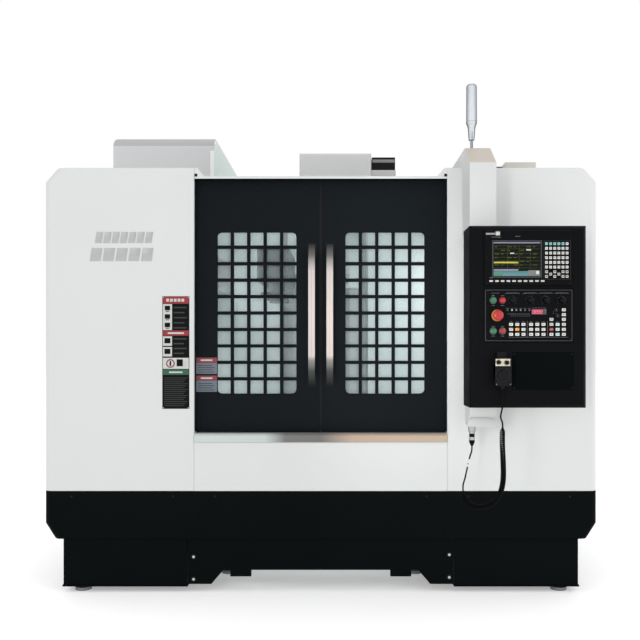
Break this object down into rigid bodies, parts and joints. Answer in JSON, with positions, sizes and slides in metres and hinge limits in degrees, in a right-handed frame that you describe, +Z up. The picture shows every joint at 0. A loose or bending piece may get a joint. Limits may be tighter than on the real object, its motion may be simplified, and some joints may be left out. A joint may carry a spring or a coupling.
{
  "type": "cnc machining center",
  "caption": "Vertical CNC machining centre: white sheet-metal enclosure, sliding doors with grid windows, swivelling operator console with hand pendant on a curly cord.",
  "frame": {"origin": "centre of the footprint's box, on the floor", "axes": "+X to the right seen from the front, +Y to the back, +Z up; the doors face -Y"},
  "size_m": [2.624, 2.49, 2.404],
  "materials": {
    "machine_iron": "painted casting",
    "ground_iron": "ground",
    "bright_steel": "satin",
    "stainless": "brushed",
    "base_black": "fine textured",
    "cover_white": "satin enamel",
    "inner_white": "satin enamel",
    "cover_grey": "satin enamel",
    "beige_paint": "satin enamel",
    "door_black": "fine textured",
    "console_black": "satin",
    "motor_black": "satin",
    "window_glass": "clear",
    "lamp_chrome": "polished",
    "green_cap": "gloss",
    "red_cap": "gloss",
    "knob_black": "matte",
    "key_grey": "matte",
    "cord_black": "matte"
  },
  "bodies": {
    "frame": {"bed_casting": "machine_iron", "column_casting": "machine_iron", "leveling_feet": "bright_steel", "side_base_tanks": "base_black", "base_skirt": "base_black", "center_base_cover": "base_black", "base_cover_bolts": "bright_steel", "left_enclosure": "cover_white", "right_enclosure": "cover_white", "lower_front_panel": "cover_white", "door_sill": "stainless", "door_header": "cover_white", "rear_guard": "inner_white", "roof_junction_box": "beige_paint", "magazine_cover": "cover_grey", "atc_gearbox": "machine_iron", "z_axis_motor": "motor_black", "electrical_cabinet": "cover_white", "console_arm": "cover_white", "signal_lamp": "lamp_chrome"},
    "left_door": {"left_door": "door_black", "left_window_grille": "door_black", "left_window_glass": "window_glass", "left_door_handle": "stainless"},
    "right_door": {"right_door": "door_black", "right_window_grille": "door_black", "right_window_glass": "window_glass", "right_door_handle": "stainless"},
    "saddle": {"saddle": "machine_iron"},
    "table": {"table": "ground_iron"},
    "head": {"head_casting": "cover_white", "head_cover": "cover_grey", "spindle_motor": "motor_black", "head_valve_block": "motor_black"},
    "spindle": {"spindle": "bright_steel"},
    "magazine": {"tool_magazine": "bright_steel"},
    "changer_arm": {"atc_arm": "bright_steel"},
    "cabinet_door": {"cabinet_door": "cover_white"},
    "console": {"console_housing": "console_black", "console_column": "cover_white", "display_unit": "console_black", "operator_panel": "console_black", "console_keys": "key_grey", "mpg_pendant": "knob_black", "mpg_lead": "cord_black", "mpg_coil": "cord_black", "plug_lead": "cord_black", "cord_plug": "lamp_chrome"},
    "power_on_button": {"power_on_button": "green_cap"},
    "power_off_button": {"power_off_button": "red_cap"},
    "cycle_start_button": {"cycle_start_button": "green_cap"},
    "feed_hold_button": {"feed_hold_button": "red_cap"},
    "e_stop_button": {"e_stop_button": "red_cap"},
    "mode_knob": {"mode_knob": "knob_black"},
    "feed_knob": {"feed_knob": "knob_black"},
    "rapid_knob": {"rapid_knob": "knob_black"},
    "spindle_knob": {"spindle_knob": "knob_black"},
    "mpg_dial": {"mpg_dial": "knob_black"},
    "mpg_axis_knob": {"mpg_axis_knob": "knob_black"},
    "mpg_scale_knob": {"mpg_scale_knob": "knob_black"}
  },
  "joints": [
    {"name": "left_door_slide", "type": "slide", "parent": "frame", "child": "left_door", "axis": [-1, 0, 0], "range_m": [0, 0.53]},
    {"name": "right_door_slide", "type": "slide", "parent": "frame", "child": "right_door", "axis": [1, 0, 0], "range_m": [0, 0.53]},
    {"name": "saddle_y", "type": "slide", "parent": "frame", "child": "saddle", "axis": [0, 1, 0], "range_m": [-0.25, 0.25]},
    {"name": "table_x", "type": "slide", "parent": "saddle", "child": "table", "axis": [1, 0, 0], "range_m": [-0.4, 0.4]},
    {"name": "head_z", "type": "slide", "parent": "frame", "child": "head", "axis": [0, 0, 1], "range_m": [-0.55, 0]},
    {"name": "spindle_spin", "type": "hinge", "parent": "head", "child": "spindle", "pos_m": [0, -0.1, 1.6], "axis": [0, 0, 1], "continuous": true},
    {"name": "magazine_spin", "type": "hinge", "parent": "frame", "child": "magazine", "pos_m": [-0.7, 0.32, 1.915], "axis": [1, 0, 0], "continuous": true},
    {"name": "changer_turn", "type": "hinge", "parent": "frame", "child": "changer_arm", "pos_m": [-0.265, -0.1, 1.45], "axis": [0, 0, 1], "range_deg": [0, 90]},
    {"name": "cabinet_door_hinge", "type": "hinge", "parent": "frame", "child": "cabinet_door", "pos_m": [0.626, 1.219, 1.15], "axis": [0, 0, -1], "range_deg": [0, 110]},
    {"name": "console_swivel", "type": "hinge", "parent": "frame", "child": "console", "pos_m": [0.7295, -0.946, 1.5], "axis": [0, 0, -1], "range_deg": [0, 90]},
    {"name": "power_on_press", "type": "slide", "parent": "console", "child": "power_on_button", "axis": [0, 1, 0], "range_m": [0, 0.004], "stiffness_N_per_m": 800},
    {"name": "power_off_press", "type": "slide", "parent": "console", "child": "power_off_button", "axis": [0, 1, 0], "range_m": [0, 0.004], "stiffness_N_per_m": 800},
    {"name": "cycle_start_press", "type": "slide", "parent": "console", "child": "cycle_start_button", "axis": [0, 1, 0], "range_m": [0, 0.004], "stiffness_N_per_m": 800},
    {"name": "feed_hold_press", "type": "slide", "parent": "console", "child": "feed_hold_button", "axis": [0, 1, 0], "range_m": [0, 0.004], "stiffness_N_per_m": 800},
    {"name": "e_stop_press", "type": "slide", "parent": "console", "child": "e_stop_button", "axis": [0, 1, 0], "range_m": [0, 0.005], "stiffness_N_per_m": 800},
    {"name": "mode_turn", "type": "hinge", "parent": "console", "child": "mode_knob", "pos_m": [0.82, -1.19, 1.36], "axis": [0, 1, 0], "range_deg": [-135, 135]},
    {"name": "feed_turn", "type": "hinge", "parent": "console", "child": "feed_knob", "pos_m": [0.895, -1.19, 1.36], "axis": [0, 1, 0], "range_deg": [-135, 135]},
    {"name": "rapid_turn", "type": "hinge", "parent": "console", "child": "rapid_knob", "pos_m": [0.961, -1.19, 1.36], "axis": [0, 1, 0], "range_deg": [-135, 135]},
    {"name": "spindle_turn", "type": "hinge", "parent": "console", "child": "spindle_knob", "pos_m": [1.029, -1.19, 1.36], "axis": [0, 1, 0], "range_deg": [-135, 135]},
    {"name": "dial_spin", "type": "hinge", "parent": "console", "child": "mpg_dial", "pos_m": [0.771, -1.23, 1.0446], "axis": [0, 1, 0], "continuous": true},
    {"name": "axis_select", "type": "hinge", "parent": "console", "child": "mpg_axis_knob", "pos_m": [0.7525, -1.23, 1.0985], "axis": [0, 1, 0], "range_deg": [-60, 60]},
    {"name": "scale_select", "type": "hinge", "parent": "console", "child": "mpg_scale_knob", "pos_m": [0.7865, -1.23, 1.0965], "axis": [0, 1, 0], "range_deg": [-45, 45]}
  ]
}
